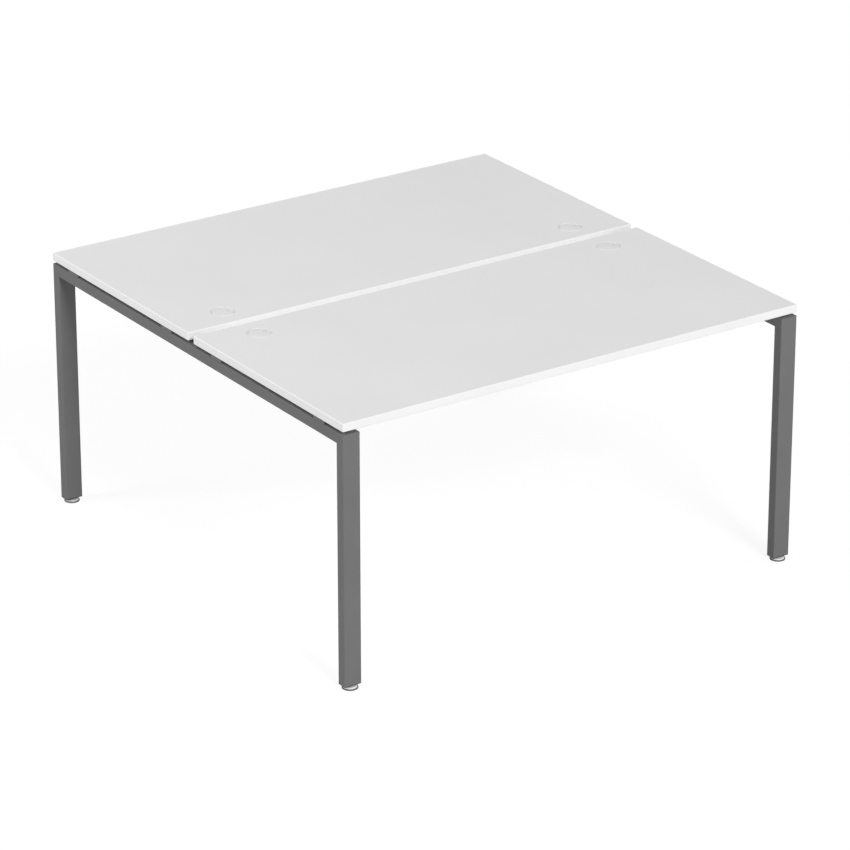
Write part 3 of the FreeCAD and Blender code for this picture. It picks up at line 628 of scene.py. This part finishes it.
def floor_finish():
    """Matt pale vinyl that looks white, so sheer that a foot screwed out below it still shows."""
    material = bpy.data.materials.new("matt_pale_vinyl")
    material.use_nodes = True
    tree = material.node_tree
    tree.nodes.clear()
    lit = add_node(tree, "ShaderNodeBsdfDiffuse", {"Color": linear(FLOOR_ALBEDO)})
    seen = add_node(tree, "ShaderNodeBsdfDiffuse", {"Color": linear(FLOOR_SEEN_ALBEDO)})
    sheer = add_node(tree, "ShaderNodeBsdfTransparent", {"Color": linear(FLOOR_SHEER)})
    white = add_node(tree, "ShaderNodeAddShader", {0: seen.outputs["BSDF"], 1: sheer.outputs["BSDF"]})
    face = add_node(tree, "ShaderNodeMixShader", {
        "Fac": seen_directly(tree), 1: lit.outputs["BSDF"], 2: white.outputs["Shader"]})
    clear = add_node(tree, "ShaderNodeBsdfTransparent")
    back = add_node(tree, "ShaderNodeNewGeometry").outputs["Backfacing"]
    both = add_node(tree, "ShaderNodeMixShader", {
        "Fac": back, 1: face.outputs["Shader"], 2: clear.outputs["BSDF"]})
    add_node(tree, "ShaderNodeOutputMaterial", {"Surface": both.outputs["Shader"]})
    return material


floor_data = bpy.data.meshes.new("floor")
floor_corners = [(x * FLOOR_HALF, y * FLOOR_HALF, 0) for x, y in ((-1, -1), (1, -1), (1, 1), (-1, 1))]
floor_data.from_pydata(floor_corners, [], [(0, 1, 2, 3)])
floor_data.materials.append(floor_finish())
floor = bpy.data.objects.new("floor", floor_data)
bpy.context.scene.collection.objects.link(floor)


# Light: an even white room, a soft lamp in front, and a weaker one near the left that fades to the right

ROOM_LIGHT = 0.41
# Each lamp's level, azimuth and elevation in degrees, and distance and width in metres
LAMPS = {"front_lamp": (0.55, -6, 33, 24.0, 7.0), "left_lamp": (0.28, -110, 33, 8.0, 2.6)}


def direction_of(azimuth, elevation):
    """The way from the desk to a lamp or viewer: azimuth 0 is in front and grows to the right."""
    round_desk, above = math.radians(azimuth), math.radians(elevation)
    level = math.cos(above)
    return Vector((math.sin(round_desk) * level, -math.cos(round_desk) * level, math.sin(above)))


world = bpy.data.worlds.new("white_room")
bpy.context.scene.world = world
world.use_nodes = True
world_tree = world.node_tree
world_tree.nodes.clear()
room = add_node(world_tree, "ShaderNodeBackground", {"Color": linear(WHITE), "Strength": ROOM_LIGHT})
backdrop = add_node(world_tree, "ShaderNodeBackground", {"Color": linear(WHITE), "Strength": 1.0})
either = add_node(world_tree, "ShaderNodeMixShader", {
    "Fac": seen_directly(world_tree), 1: room.outputs["Background"], 2: backdrop.outputs["Background"]})
add_node(world_tree, "ShaderNodeOutputWorld", {"Surface": either.outputs["Shader"]})

for name, (level, azimuth, elevation, distance, width) in LAMPS.items():
    lamp_data = bpy.data.lights.new(name, "AREA")
    lamp_data.shape = "DISK"
    lamp_data.size = width
    lamp_data.energy = level * (math.pi * distance) ** 2
    lamp = bpy.data.objects.new(name, lamp_data)
    bpy.context.scene.collection.objects.link(lamp)
    to_lamp = direction_of(azimuth, elevation)
    lamp.location = to_lamp * distance + Vector((0, 0, DESK_HEIGHT * MM))
    lamp.rotation_euler = to_lamp.to_track_quat("Z", "Y").to_euler()


# Camera: fitted to the desktops' corners and the legs' ends in the photograph

CAMERA_AZIMUTH, CAMERA_ELEVATION = -34.238, 23.112
CAMERA_PLACE = (-5.9832, -8.8177, 4.8505)
FOCAL_PIXELS, PICTURE_PIXELS, SENSOR = 4368.85, 850, 36
CAMERA_REACH = 100

camera_data = bpy.data.cameras.new("camera")
camera_data.sensor_width = SENSOR
camera_data.lens = FOCAL_PIXELS / PICTURE_PIXELS * SENSOR
camera_data.clip_end = CAMERA_REACH
camera = bpy.data.objects.new("camera", camera_data)
bpy.context.scene.collection.objects.link(camera)
camera.location = CAMERA_PLACE
to_camera = direction_of(CAMERA_AZIMUTH, CAMERA_ELEVATION)
camera.rotation_euler = to_camera.to_track_quat("Z", "Y").to_euler()
bpy.context.scene.camera = camera
bpy.context.scene.view_settings.view_transform = "Standard"
